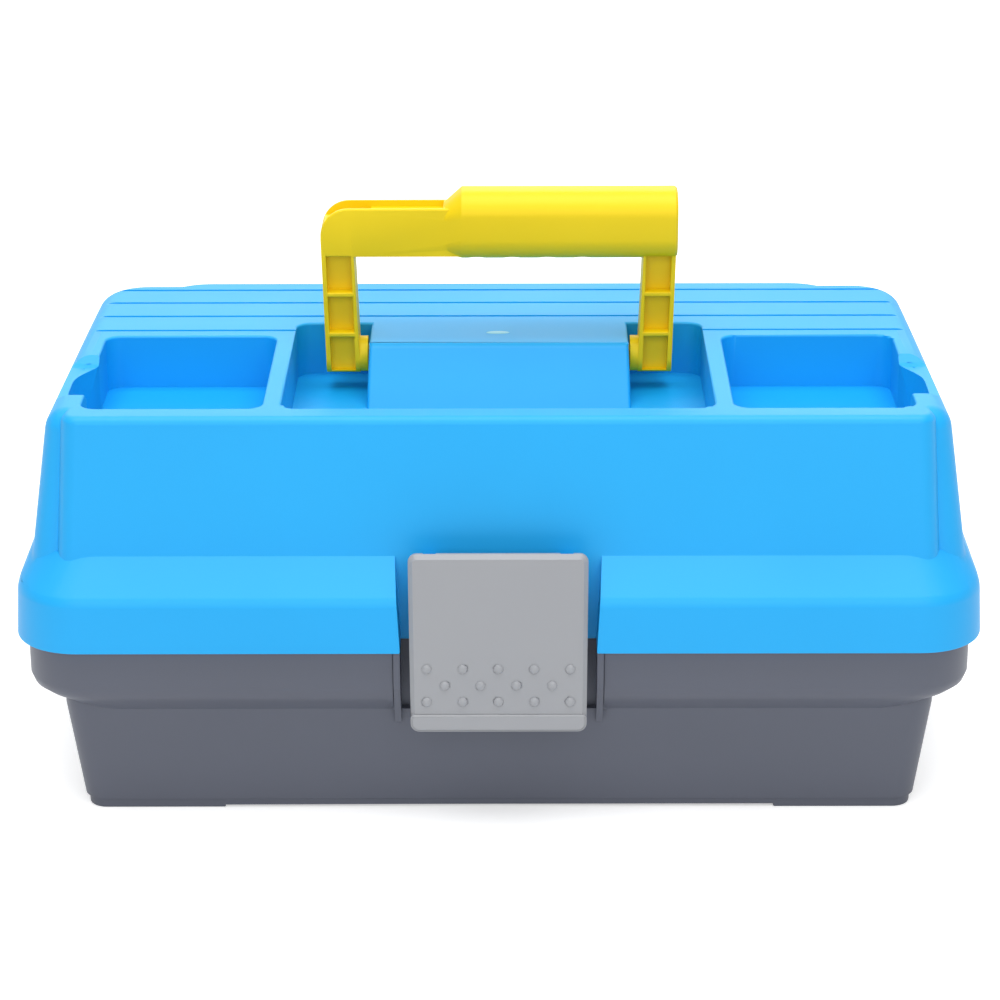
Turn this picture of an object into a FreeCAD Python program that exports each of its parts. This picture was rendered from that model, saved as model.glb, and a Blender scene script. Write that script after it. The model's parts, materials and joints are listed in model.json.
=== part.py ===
import FreeCAD, Part
import math
import os

# Portable hip-roof tackle box: grey tub, blue lid with open roof pockets, folding yellow handle,
# swing latch, and two tackle trays that step up and back on parallel cranks when the lid opens.
# Millimetres. +Z is up, the front with the latch faces -Y, and the origin is on the floor,
# below the middle of the box.

# Lid, outside
rim_half_width = 165.0
rim_half_depth = 96.0
rim_corner_radius = 22.7
rim_height = 18.4
rim_draft = 0.9
split_height = 65.4
slope_height = 12.2
slope_front_setback = 13.0
slope_side_setback = 6.3
upper_height = 47.3
front_lean = 6.0
back_lean = 3.0
side_lean = 6.3
side_panel_taper = 3.6
front_block_taper = 24.0
front_block_inset = 8.5
front_block_lean = 2.7
front_block_corner_radius = 6.0
side_panel_setback = 5.0
side_panel_corner_radius = 8.5
back_corner_radius = 18.0
roof_flat_end = 19.0
roof_fall_radius = 2000.0
roof_edge_radius = 3.0
side_panel_edge_radius = 8.0
lid_wall = 2.2

# Roof grooves
groove_first = 18.8
groove_pitch = 17.0
groove_count = 4
groove_width = 2.4
groove_depth = 0.5

# Roof pockets: two small-parts pockets and the handle recess between them
front_rail = 10.0
pocket_depth = 19.5
pocket_length = 78.5
pocket_inner_wall = 79.7
pocket_outer_wall = 141.0
pocket_corner_radius = 5.5
scoop_reach = 7.0
scoop_start = 18.0
scoop_length = 35.0
scoop_front_run = 3.0
scoop_back_run = 13.0
scoop_front_radius = 5.0
scoop_back_radius = 20.0
scoop_floor_rise = 0.8
scoop_drop = 3.0
recess_half_width = 73.4
recess_length = 93.6

# Centre block that carries the handle
block_half_width = 46.3
block_top_length = 24.5
block_front_run = 15.0
block_edge_radius = 4.0
block_draft = 0.65

# Latch notch in the lid rim, and its ears
notch_top_half_width = 34.9
notch_bottom_half_width = 33.2
latch_axis_height = 93.3
latch_axis_setback = 8.4
latch_ear_radius = 2.7
latch_ear_place = 23.0
latch_ear_width = 4.0

# Skirt of the lid over the tub wall
skirt_overlap = 6.0
skirt_gap = 0.5
ledge_gap = 0.4
ledge_width = 2.6
ledge_height = 2.0

# Tub
tub_wall = 2.2
tub_floor = 2.4
tub_low_side_inset = 20.1
tub_low_front_inset = 16.2
tub_high_side_inset = 15.4
tub_high_front_inset = 13.0
tub_corner_radius = 8.0
tub_low_height = 3.6
tub_band_side_inset = 1.4
tub_band_front_inset = 0.6
foot_height = 1.0
foot_length = 48.0
foot_depth = 24.0
flare_low_height = 39.5
flare_rises = (5.9, 2.8, 3.3)
flare_shares = (0.68, 0.91, 1.0)

# Catch for the latch, and the two fins beside it
fin_side_inset = 0.2
fin_width = 2.2
fin_reach = 1.2
fin_drop = 4.5
fin_nose_radius = 5.0
catch_half_width = 26.0
catch_height = 53.0
catch_tip = 1.6
catch_rise = 6.0
catch_reach = 8.5

# Latch
latch_top_half_width = 30.2
latch_bottom_half_width = 29.8
latch_thickness = 2.6
latch_above_axis = 7.7
latch_lip_height = 6.1
latch_lip_low = 38.2
latch_lip_reach = 0.7
latch_front_at_axis = 4.8
latch_tilt = 3.4
latch_corner_radius = 3.0
latch_edge_bevel = 1.5
latch_lip_bevel = 0.5
latch_hook_half_width = 24.0
latch_hook_thickness = 2.2
latch_hook_gap = 0.5
latch_hook_side_gap = 0.35
latch_barrel_end = 28.4
bump_radius = 1.8
bump_height = 0.55
bump_pitch = 12.1
bump_row_pitch = 5.9
bump_first_row_above_lip = 9.0
bump_rows = 3
bump_columns = 5
bump_sides = 8

# Hinges at the back
hinge_behind_rim = 0.4
hinge_axis_height = 61.0
hinge_side_inset = 70.0
knuckle_radius = 3.6
lid_knuckle_length = 13.4
tub_knuckle_length = 8.0
knuckle_end_gap = 0.3
hinge_pin_radius = 1.5
hinge_web_height = 12.0

# Handle
handle_half_width = 63.3
handle_foot_inset = 1.4
handle_arm_width = 12.0
handle_arm_depth = 13.4
handle_axis_depth = 12.0
handle_axis_height = 136.5
handle_boss_radius = 6.4
handle_grip_height = 24.6
handle_grip_depth = 21.0
handle_reach = 61.3
handle_grip_start = -13.0
handle_neck_length = 6.5
handle_bar_rise = 1.4
handle_low_height = 17.4
handle_low_corner = 10.0
handle_channel_depth = 2.2
handle_channel_end_depth = 5.0
handle_channel_end_length = 18.0
handle_wall = 1.6
handle_back_wall = 8.5
handle_rib = 1.6
handle_pocket_count = 3
grip_corner_radius = 8.5
neck_radius_share = 0.55
grip_end_bevel = 0.8
scallop_count = 4
scallop_pitch = 12.5
scallop_first = -14.0
scallop_radius = 7.5
scallop_depth = 1.1
handle_stub_radius = 3.5
handle_stub_depth = 3.4
handle_side_gap = 0.75

# Trays and the parallel cranks that carry them
tray_side_inset = 22.5
tray_wall = 1.8
tray_floor = 1.8
tray_corner_radius = 8.0
lower_tray_bottom = 51.5
lower_tray_height = 28.5
lower_tray_front_inset = 19.0
lower_tray_back_inset = 22.0
upper_tray_bottom = 82.0
upper_tray_height = 27.0
upper_tray_front_inset = 22.0
upper_tray_back_inset = 52.5
slot_pitch = 47.5
slot_rib = 1.2
slot_gap = 0.15
divider_thickness = 1.4
divider_drop = 2.0
lower_pivot_run = 45.0
lower_pivot_rise = 15.0
upper_pivot_run = 78.0
upper_pivot_rise = 25.0
crank_offset = 75.0
pivot_radius = 2.0
pivot_head_radius = 3.4
pivot_head_height = 1.2
pivot_pad_radius = 4.0
pivot_boss_depth = 3.0
pivot_end_gap = 0.2
arm_gap = 2.6
arm_width = 12.0
arm_thickness = 2.5
bracket_margin = 7.0
bracket_top = 106.0
bracket_corner_radius = 6.0
bracket_screw_rise = 3.4
bracket_screw_inset = 10.0
screw_radius = 1.45
screw_head_radius = 3.2
screw_head_height = 1.3
screw_boss_radius = 4.2
screw_reach = 3.8

# Running clearance of every pin, play between faces that slide, and overrun of every cut
pin_gap = 0.05
side_play = 0.2
overrun = 5.0

# Worked out from the sizes above
rim_top = split_height + rim_height
shoulder_height = rim_top + slope_height
roof_height = shoulder_height + upper_height
shoulder_half_width = rim_half_width - slope_side_setback
shoulder_half_depth = rim_half_depth - slope_front_setback
notch_back = -shoulder_half_depth
latch_axis_depth = notch_back - latch_axis_setback
pocket_front = -shoulder_half_depth + front_lean + front_rail
recess_back = pocket_front + recess_length
skirt_inner_half_width = rim_half_width - rim_draft - lid_wall
skirt_inner_half_depth = rim_half_depth - rim_draft - lid_wall
flare_half_width = skirt_inner_half_width - skirt_gap
flare_half_depth = skirt_inner_half_depth - skirt_gap
flare_corner_radius = rim_corner_radius - lid_wall - skirt_gap
flare_high_height = flare_low_height + sum(flare_rises)
tub_half_width_low = rim_half_width - tub_low_side_inset
tub_half_depth_low = rim_half_depth - tub_low_front_inset
tub_half_width_high = rim_half_width - tub_high_side_inset
tub_half_depth_high = rim_half_depth - tub_high_front_inset
tray_half_width = rim_half_width - tray_side_inset
lower_tray_front = -rim_half_depth + lower_tray_front_inset
lower_tray_back = rim_half_depth - lower_tray_back_inset
upper_tray_front = -rim_half_depth + upper_tray_front_inset
upper_tray_back = rim_half_depth - upper_tray_back_inset
bracket_screw_height = shoulder_height + bracket_screw_rise
hinge_axis_depth = rim_half_depth + hinge_behind_rim
hinge_place = rim_half_width - hinge_side_inset
tub_top = split_height + skirt_overlap
tub_notch_back = notch_back + lid_wall + skirt_gap
tray_outer_face = tray_half_width + arm_gap
arm_outer_face = tray_outer_face + arm_thickness
hinge = (hinge_axis_depth, hinge_axis_height)
arm_pivot = (hinge_axis_depth - crank_offset, hinge_axis_height)
lower_rear = (hinge_axis_depth - lower_pivot_run, hinge_axis_height + lower_pivot_rise)
upper_rear = (hinge_axis_depth - upper_pivot_run, hinge_axis_height + upper_pivot_rise)
lower_front = (lower_rear[0] - crank_offset, lower_rear[1])
upper_front = (upper_rear[0] - crank_offset, upper_rear[1])


def place(plane, level, a, b):
    """A point from its two plane coordinates and its level on the third axis."""
    if plane == "xy":
        return FreeCAD.Vector(a, b, level)
    if plane == "xz":
        return FreeCAD.Vector(a, level, b)
    return FreeCAD.Vector(level, a, b)


def outline(corners, plane, level):
    """A closed wire through corners (a, b, radius), each rounded by its radius."""
    starts, ends, middles = [], [], []
    count = len(corners)
    for index, (a, b, radius) in enumerate(corners):
        before = corners[index - 1]
        after = corners[(index + 1) % count]
        back = FreeCAD.Vector(before[0] - a, before[1] - b, 0).normalize()
        ahead = FreeCAD.Vector(after[0] - a, after[1] - b, 0).normalize()
        half_angle = back.getAngle(ahead) / 2
        corner = FreeCAD.Vector(a, b, 0)
        run = radius / math.tan(half_angle)
        middle = (back + ahead).normalize() * (radius / math.sin(half_angle) - radius)
        starts.append(corner + back * run)
        ends.append(corner + ahead * run)
        middles.append(corner + middle)
    edges = []
    for index, (a, b, radius) in enumerate(corners):
        if radius:
            arc = [place(plane, level, p.x, p.y) for p in (starts[index], middles[index], ends[index])]
            edges.append(Part.Arc(*arc).toShape())
        line = [place(plane, level, p.x, p.y) for p in (ends[index], starts[(index + 1) % count])]
        if line[0].distanceToPoint(line[1]) > pin_gap / overrun:
            edges.append(Part.makeLine(*line))
    return Part.Wire(edges)


def prism(corners, plane, start, end):
    """The outline carried straight from one level to another."""
    face = Part.Face(outline(corners, plane, start))
    return face.extrude(place(plane, end - start, 0, 0))


def rounded(half_x, y_low, y_high, radius):
    """Corners of a rectangle about the middle plane, with one radius all round."""
    return [(-half_x, y_low, radius), (half_x, y_low, radius), (half_x, y_high, radius),
            (-half_x, y_high, radius)]


def closed(faces):
    """One solid from faces that meet edge to edge."""
    shell = Part.Shell(faces)
    shell.sewShape()
    solid = Part.Solid(shell)
    if solid.Volume < 0:
        solid.reverse()
    return solid.removeSplitter()


def tapered(low, low_height, high, high_height):
    """A solid between two level outlines whose sides are parallel and whose corner radii are equal."""
    bottom, top = outline(low, "xy", low_height), outline(high, "xy", high_height)
    faces = [Part.Face(bottom), Part.Face(top)]
    for edge, partner in zip(bottom.OrderedEdges, top.OrderedEdges):
        start, end = edge.firstVertex(True).Point, edge.lastVertex(True).Point
        far_start, far_end = partner.firstVertex(True).Point, partner.lastVertex(True).Point
        if edge.Curve.TypeId == "Part::GeomLine":
            faces.append(Part.Face(Part.makePolygon([start, end, far_end, far_start, start])))
        else:
            faces.append(edge.extrude(far_start - start))
    return closed(faces)


def slanted(low, low_height, high, high_height):
    """A flat-sided solid between two four-cornered outlines, its upright edges rounded by their radii."""
    rings = []
    for corners, height in ((low, low_height), (high, high_height)):
        rings.append([FreeCAD.Vector(corner[0], corner[1], height) for corner in corners])
    loops = [rings[0], rings[1]]
    for index in range(len(low)):
        after = (index + 1) % len(low)
        loops.append([rings[0][index], rings[0][after], rings[1][after], rings[1][index]])
    solid = closed([Part.Face(Part.makePolygon(loop + loop[:1])) for loop in loops])
    for start, (x, y, radius) in zip(rings[0], low):
        near = [e for e in solid.Edges if any(v.Point.distanceToPoint(start) < pin_gap for v in e.Vertexes)]
        upright = [e for e in near if abs(e.Vertexes[0].Z - e.Vertexes[1].Z) > pin_gap]
        solid = solid.makeFillet(radius, upright).Solids[0]
    return solid


def block(x_low, x_high, y_low, y_high, z_low, z_high):
    """A box between its lowest and highest corners."""
    size = (x_high - x_low, y_high - y_low, z_high - z_low)
    return Part.makeBox(*size, FreeCAD.Vector(x_low, y_low, z_low))


def rod(radius, x_low, x_high, centre):
    """A round bar along X with its axis at (depth, height)."""
    start = FreeCAD.Vector(x_low, centre[0], centre[1])
    return Part.makeCylinder(radius, x_high - x_low, start, FreeCAD.Vector(1, 0, 0))


def mirrored(shape):
    """The same shape on the other side of the middle plane."""
    return shape.mirror(FreeCAD.Vector(), FreeCAD.Vector(1, 0, 0))


def both_sides(shape):
    """The shape and its mirror image, as a list."""
    return [shape, mirrored(shape)]


def on_side(shape, side):
    """A shape made on the +X side, kept there or mirrored to the -X side."""
    return shape if side == "right" else mirrored(shape)


def joined(first, others):
    """One solid from a shape and the ones that touch it."""
    return first.multiFuse(others).removeSplitter()


def roof_level(depth):
    """Height of the roof: level at the front, then a gentle fall to the back."""
    if depth <= roof_flat_end:
        return roof_height
    run = depth - roof_flat_end
    return roof_height - roof_fall_radius + math.sqrt(roof_fall_radius ** 2 - run ** 2)


def under_roof(inset):
    """Everything below the roof surface moved down by an inset."""
    far = rim_half_depth + overrun
    low = -overrun
    centre = roof_height - roof_fall_radius
    radius = roof_fall_radius - inset

    def on_arc(depth):
        run = depth - roof_flat_end
        return FreeCAD.Vector(-rim_half_width, depth, centre + math.sqrt(radius ** 2 - run ** 2))

    front_low = FreeCAD.Vector(-rim_half_width, -far, low)
    front_top = FreeCAD.Vector(-rim_half_width, -far, roof_height - inset)
    bend, middle, back_top = on_arc(roof_flat_end), on_arc((roof_flat_end + far) / 2), on_arc(far)
    back_low = FreeCAD.Vector(-rim_half_width, far, low)
    edges = [Part.makeLine(front_low, front_top), Part.makeLine(front_top, bend),
             Part.Arc(bend, middle, back_top).toShape(), Part.makeLine(back_top, back_low),
             Part.makeLine(back_low, front_low)]
    return Part.Face(Part.Wire(edges)).extrude(FreeCAD.Vector(rim_half_width * 2, 0, 0))


def leaning(at_shoulder, at_roof, height):
    """A size that changes evenly from the shoulder of the lid to its roof."""
    return at_shoulder + (at_roof - at_shoulder) * (height - shoulder_height) / upper_height


def upper_section(foot_half, top_half, taper, front, front_radius, inset, height):
    """Level section of one of the lid's two upper forms, narrower by the taper on each side at the back."""
    back = leaning(shoulder_half_depth, shoulder_half_depth - back_lean, height) - inset
    front_y = leaning(front, front + front_lean, height) + inset
    front_x = leaning(foot_half, top_half, height) - inset
    back_x = front_x - taper * (back - front_y) / (shoulder_half_depth * 2)
    near, far = front_radius - inset, back_corner_radius - inset
    return [(-front_x, front_y, near), (front_x, front_y, near), (back_x, back, far), (-back_x, back, far)]


def upper_form(foot_half, top_half, taper, front, front_radius, edge_radius, inset):
    """An upper form cut off by the roof, with the roof's edge rounded inside and out."""
    levels = (shoulder_height - slope_height / 2, roof_height + overrun)
    low, high = [upper_section(foot_half, top_half, taper, front, front_radius, inset, z) for z in levels]
    form = slanted(low, levels[0], high, levels[1])
    form = form.common(under_roof(inset))
    edges = []
    for edge in form.Edges:
        points = [vertex.Point for vertex in edge.Vertexes]
        on_roof = all(abs(p.z - roof_level(p.y) + inset) < pin_gap for p in points)
        seam = all(abs(p.y - roof_flat_end) < pin_gap for p in points)
        if on_roof and not seam:
            edges.append(edge)
    return form.makeFillet(edge_radius - inset, edges)


def lid_form(inset):
    """The whole outside of the lid, or its inside when an inset is given."""
    rim = (rim_half_width - inset, -rim_half_depth + inset, rim_half_depth - inset, rim_corner_radius - inset)
    high_rim = (rim[0] - rim_draft, rim[1] + rim_draft, rim[2] - rim_draft, rim[3])
    shoulder = (shoulder_half_width - inset, -shoulder_half_depth + inset, shoulder_half_depth - inset,
                rim_corner_radius - inset)
    low = split_height - overrun if inset else split_height
    bend, end = rim_top - inset / 2, shoulder_height - inset / 2
    rim, high_rim, shoulder = rounded(*rim), rounded(*high_rim), rounded(*shoulder)
    skirt = tapered(rim, low, high_rim, bend)
    slope = tapered(high_rim, bend, shoulder, end)
    skirt = joined(skirt, [slope])
    top_half = shoulder_half_width - side_lean
    panel = upper_form(shoulder_half_width, top_half, side_panel_taper, notch_back + side_panel_setback,
                       side_panel_corner_radius, side_panel_edge_radius, inset)
    front_half = shoulder_half_width - front_block_inset
    front = upper_form(front_half, front_half - front_block_lean, front_block_taper, notch_back,
                       front_block_corner_radius, roof_edge_radius, inset)
    return joined(skirt, [panel, front])


def pocket(x_low, x_high, y_low, y_high, grow):
    """A roof pocket, or with growth the jacket that becomes its wall and floor."""
    floor = roof_height - pocket_depth - grow
    corners = [(x_low - grow, y_low - grow), (x_high + grow, y_low - grow), (x_high + grow, y_high + grow),
               (x_low - grow, y_high + grow)]
    corners = [(x, y, pocket_corner_radius + grow) for x, y in corners]
    return prism(corners, "xy", floor, roof_height + overrun)


def side_pocket(grow):
    """Small-parts pocket on the +X side, with the finger scoop in its outer wall."""
    form = pocket(pocket_inner_wall, pocket_outer_wall, pocket_front, pocket_front + pocket_length, grow)
    start = pocket_front + scoop_start - grow
    end = start + scoop_length + grow * 2
    reach = pocket_outer_wall + scoop_reach + grow
    floor = roof_height - pocket_depth - grow
    middle = (pocket_inner_wall + pocket_outer_wall) / 2
    wall = pocket_outer_wall + grow
    corners = [(middle, start, 0), (wall, start, 0), (reach, start + scoop_front_run, scoop_front_radius),
               (reach, end - scoop_back_run, scoop_back_radius), (wall, end, 0), (middle, end, 0)]
    scoop = prism(corners, "xy", floor + scoop_floor_rise, roof_height + overrun)
    return form.fuse(scoop)


def scoop_dip():
    """Dip in the top edge of the thin wall beside the finger scoop."""
    start = pocket_front + scoop_start
    low = roof_height - scoop_drop
    radius = scoop_drop * 2
    corners = [(start, low, radius), (start + scoop_length, low, radius),
               (start + scoop_length + radius * 2, roof_height + radius, 0),
               (start - radius * 2, roof_height + radius, 0)]
    return prism(corners, "yz", pocket_outer_wall, rim_half_width)


def centre_block(inset):
    """Block in the middle of the handle recess, or the hollow inside it."""
    back = pocket_front + recess_length + lid_wall + overrun
    front = recess_back - block_top_length + inset
    floor = roof_height - pocket_depth
    low = floor - lid_wall - overrun
    slope = block_front_run / pocket_depth
    front_low = front - slope * (roof_height - low)
    corners = [(front_low, low, 0), (front, roof_height - inset, block_edge_radius), (back, roof_height - inset, 0),
               (back, low, 0)]
    half = block_half_width - inset
    drafted = block_draft * (roof_height - low) / pocket_depth
    sides = [(-half - drafted, low, 0), (half + drafted, low, 0), (half, roof_height, 0), (-half, roof_height, 0)]
    return prism(corners, "yz", -rim_half_width, rim_half_width).common(prism(sides, "xz", -rim_half_depth, back))


def notch(grow):
    """Notch in the lid's rim that the latch swings in, or the jacket behind its walls."""
    low, high = split_height - overrun, shoulder_height + overrun
    slope = (notch_top_half_width - notch_bottom_half_width) / (shoulder_height - split_height)
    low_half = notch_bottom_half_width - slope * overrun + grow
    high_half = notch_top_half_width + slope * overrun + grow
    corners = [(-low_half, low, 0), (low_half, low, 0), (high_half, high, 0), (-high_half, high, 0)]
    return prism(corners, "xz", -rim_half_depth - overrun, notch_back + grow)


def roof_groove(index):
    """One full-width step in the roof, sloping down to a small riser that faces the front."""
    depth = groove_first + index * groove_pitch
    level = roof_level(depth)
    corners = [(depth - groove_width, roof_level(depth - groove_width) + pin_gap, 0),
               (depth, level - groove_depth, 0), (depth, level + overrun, 0),
               (depth - groove_width, level + overrun, 0)]
    if index:
        return [prism(corners, "yz", -rim_half_width, rim_half_width)]
    return both_sides(prism(corners, "yz", recess_half_width, rim_half_width))


def lid_knuckle(centre_x):
    """Hinge knuckle of the lid with the web that carries it down from the skirt."""
    x_low = centre_x - lid_knuckle_length / 2
    barrel = rod(knuckle_radius, x_low, x_low + lid_knuckle_length, hinge)
    inner = skirt_inner_half_depth
    outer = hinge_axis_depth + knuckle_radius
    corners = [(inner, hinge_axis_height, 0), (outer, hinge_axis_height, 0), (outer, split_height, 0),
               (rim_half_depth - rim_draft, hinge_axis_height + hinge_web_height, 0),
               (inner, hinge_axis_height + hinge_web_height, 0)]
    web = prism(corners, "yz", x_low, x_low + lid_knuckle_length)
    return barrel.fuse(web)


def latch_ear(centre_x):
    """Ear on the lid that holds the latch pin."""
    tip = latch_axis_depth - latch_ear_radius
    root = notch_back + lid_wall / 2
    radius = latch_ear_radius - pin_gap
    low, high = latch_axis_height - latch_ear_radius, latch_axis_height + latch_ear_radius
    corners = [(root, low - latch_ear_radius, 0), (tip, low, radius), (tip, high, radius), (root, high, 0)]
    return prism(corners, "yz", centre_x - latch_ear_width / 2, centre_x + latch_ear_width / 2)


def bracket_screw_points():
    """Places of the two screws that hold each tray bracket to the lid."""
    return [(lower_rear[0] - bracket_screw_inset / 2, bracket_screw_height),
            (upper_rear[0] + bracket_screw_inset / 2, bracket_screw_height)]


def make_lid():
    """Lid shell with roof pockets, centre block, latch notch, ledge, hinge knuckles and bosses."""
    rim = (rim_half_width, -rim_half_depth, rim_half_depth, rim_corner_radius)
    ledge_low = tub_top + ledge_gap
    ledge = prism(rounded(*rim), "xy", ledge_low, ledge_low + ledge_height)
    reach = rim_draft + lid_wall + ledge_width
    inside = (rim[0] - reach, rim[1] + reach, rim[2] - reach, rim[3] - reach)
    ledge = ledge.cut(prism(rounded(*inside), "xy", ledge_low - overrun, ledge_low + ledge_height + overrun))
    recess = (-recess_half_width, recess_half_width, pocket_front, recess_back)
    recess_jacket = pocket(*recess, lid_wall).cut(centre_block(lid_wall))
    jackets = [recess_jacket, notch(lid_wall), ledge] + both_sides(side_pocket(lid_wall))
    cavity = lid_form(lid_wall)
    for jacket in jackets:
        cavity = cavity.cut(jacket)
    shell = lid_form(0).cut(cavity)
    cuts = both_sides(side_pocket(0)) + both_sides(scoop_dip())
    cuts += [pocket(*recess, 0).cut(centre_block(0)), notch(0)]
    for index in range(groove_count):
        cuts += roof_groove(index)
    for cut in cuts:
        shell = shell.cut(cut)
    extras = [lid_knuckle(side * hinge_place) for side in (-1, 1)]
    extras += [latch_ear(side * latch_ear_place) for side in (-1, 1)]
    for y, z in bracket_screw_points():
        wall = leaning(shoulder_half_width, shoulder_half_width - side_lean, z) - lid_wall / 2
        wall -= side_panel_taper * (y - notch_back) / (shoulder_half_depth * 2)
        extras += both_sides(rod(screw_boss_radius, arm_outer_face, wall, (y, z)))
    shell = joined(shell, extras)
    holes = [rod(hinge_pin_radius + pin_gap, -rim_half_width, rim_half_width, hinge),
             rod(hinge_pin_radius + pin_gap, -latch_barrel_end - overrun, latch_barrel_end + overrun,
                 (latch_axis_depth, latch_axis_height)),
             rod(handle_stub_radius + pin_gap, -block_half_width - handle_side_gap,
                 block_half_width + handle_side_gap, (handle_axis_depth, handle_axis_height))]
    for y, z in bracket_screw_points():
        holes += both_sides(rod(screw_radius + pin_gap, arm_outer_face - overrun, arm_outer_face + screw_reach + side_play,
                                (y, z)))
    for hole in holes:
        shell = shell.cut(hole)
    return shell


def tub_form(inset):
    """Outside of the tub with its flared rim, or its inside when an inset is given."""
    def section(half_x, half_y, radius):
        return rounded(half_x - inset, -half_y + inset, half_y - inset, radius - inset)

    low = tub_low_height
    if inset:
        low = tub_floor + foot_height
    top = tub_top + (overrun if inset else 0)
    lower = section(tub_half_width_low, tub_half_depth_low, tub_corner_radius)
    upper = section(tub_half_width_high, tub_half_depth_high, tub_corner_radius)
    body = tapered(lower, low, upper, flare_low_height)
    collar = prism(upper, "xy", flare_low_height, flare_low_height + flare_rises[0])
    height = flare_low_height
    below = section(tub_half_width_high, tub_half_depth_high, flare_corner_radius)
    pieces = [collar]
    for share, rise in zip(flare_shares, flare_rises):
        half_x = tub_half_width_high + (flare_half_width - tub_half_width_high) * share
        half_y = tub_half_depth_high + (flare_half_depth - tub_half_depth_high) * share
        above = section(half_x, half_y, flare_corner_radius)
        pieces.append(tapered(below, height, above, height + rise))
        below, height = above, height + rise
    pieces.append(prism(below, "xy", height, top))
    return joined(body, pieces)


def tub_notch(grow):
    """Space in the front of the flare for the latch, or the jacket behind its walls."""
    half = notch_bottom_half_width + lid_wall + skirt_gap + grow
    corners = [(-half, flare_low_height - grow, 0), (half, flare_low_height - grow, 0),
               (half, tub_top + overrun * 2, 0), (-half, tub_top + overrun * 2, 0)]
    return prism(corners, "xz", -rim_half_depth - overrun, tub_notch_back + grow)


def tub_knuckles(centre_x):
    """The two knuckles of the tub beside one lid knuckle, each with its web."""
    parts = []
    for side in (-1, 1):
        near = centre_x + side * (lid_knuckle_length / 2 + knuckle_end_gap)
        far = near + side * tub_knuckle_length
        x_low, x_high = min(near, far), max(near, far)
        barrel = rod(knuckle_radius, x_low, x_high, hinge)
        root = flare_half_depth - tub_wall / 2
        corners = [(root, hinge_axis_height - hinge_web_height, 0),
                   (hinge_axis_depth + knuckle_radius, hinge_axis_height, 0),
                   (hinge_axis_depth, hinge_axis_height + knuckle_radius, knuckle_radius / 2),
                   (root, hinge_axis_height + knuckle_radius, 0)]
        parts.append(barrel.fuse(prism(corners, "yz", x_low, x_high)))
    return parts


def make_tub():
    """Tub with floor, feet, flared rim, latch fins, catch, hinge knuckles and crank bosses."""
    band = (tub_half_width_low - tub_band_side_inset, tub_half_depth_low - tub_band_front_inset)
    radius = tub_corner_radius - tub_band_side_inset
    bottom = prism(rounded(band[0], -band[1], band[1], radius), "xy", foot_height, tub_low_height)
    shell = joined(tub_form(0), [bottom])
    shell = shell.cut(tub_form(tub_wall).cut(tub_notch(tub_wall)))
    shell = shell.cut(tub_notch(0))
    extras = []
    pads = prism(rounded(band[0], -band[1], band[1], radius), "xy", 0, foot_height)
    gap_x = band[0] - foot_length
    gap_y = band[1] - foot_depth
    far = rim_half_width
    pads = pads.cut(block(-gap_x, gap_x, -far, far, -overrun, overrun))
    pads = pads.cut(block(-far, far, -gap_y, gap_y, -overrun, overrun))
    extras += pads.Solids
    fin_inner = notch_bottom_half_width + fin_side_inset
    fin_outer = fin_inner + fin_width
    wall_inner = notch_bottom_half_width + lid_wall + skirt_gap + tub_wall / 2
    fin_low = flare_low_height - fin_drop
    for front, far_side, low in ((-flare_half_depth - fin_reach, fin_outer, fin_low),
                                 (-flare_half_depth + fin_reach, wall_inner, flare_low_height)):
        root = tub_notch_back + tub_wall / 2
        corners = [(root, low, 0), (-tub_half_depth_high - tub_wall / 2, low, 0),
                   (front, flare_high_height, fin_nose_radius), (front, split_height - skirt_gap, 0),
                   (root, split_height - skirt_gap, 0)]
        extras += both_sides(prism(corners, "yz", fin_inner, far_side))
    catch_front = tub_notch_back - catch_reach
    root = tub_notch_back + tub_wall / 2
    corners = [(root, catch_height, 0), (catch_front, catch_height, 0), (catch_front, catch_height + catch_tip, 0),
               (root, catch_height + catch_rise, 0)]
    extras.append(prism(corners, "yz", -catch_half_width, catch_half_width))
    for side in (-1, 1):
        extras += tub_knuckles(side * hinge_place)
    extras += both_sides(rod(pivot_pad_radius + tub_wall / 2, arm_outer_face + pivot_end_gap,
                             flare_half_width - tub_wall / 2, arm_pivot))
    shell = joined(shell, extras)
    holes = [rod(hinge_pin_radius + pin_gap, -rim_half_width, rim_half_width, hinge)]
    for side in (-1, 1):
        half = lid_knuckle_length / 2 + knuckle_end_gap
        holes.append(rod(knuckle_radius + skirt_gap, side * hinge_place - half, side * hinge_place + half, hinge))
    bore = pivot_radius + pin_gap
    holes += both_sides(rod(bore, arm_outer_face - overrun, flare_half_width - tub_wall, arm_pivot))
    for hole in holes:
        shell = shell.cut(hole)
    return shell


def latch_back(height):
    """Depth of the back of the tilted latch plate at a height."""
    flat = latch_axis_depth - latch_front_at_axis + latch_thickness
    return flat - math.tan(math.radians(latch_tilt)) * (latch_axis_height - height)


def bump(x, front, height):
    """One low thumb bump, eight-sided, on the front of the latch plate."""
    points = []
    for index in range(bump_sides + 1):
        turn = 2 * math.pi * (index + 1 / 2) / bump_sides
        points.append(FreeCAD.Vector(x + bump_radius * math.cos(turn), front - bump_height,
                                     height + bump_radius * math.sin(turn)))
    return Part.Face(Part.makePolygon(points)).extrude(FreeCAD.Vector(0, bump_height + pin_gap, 0))


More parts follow.
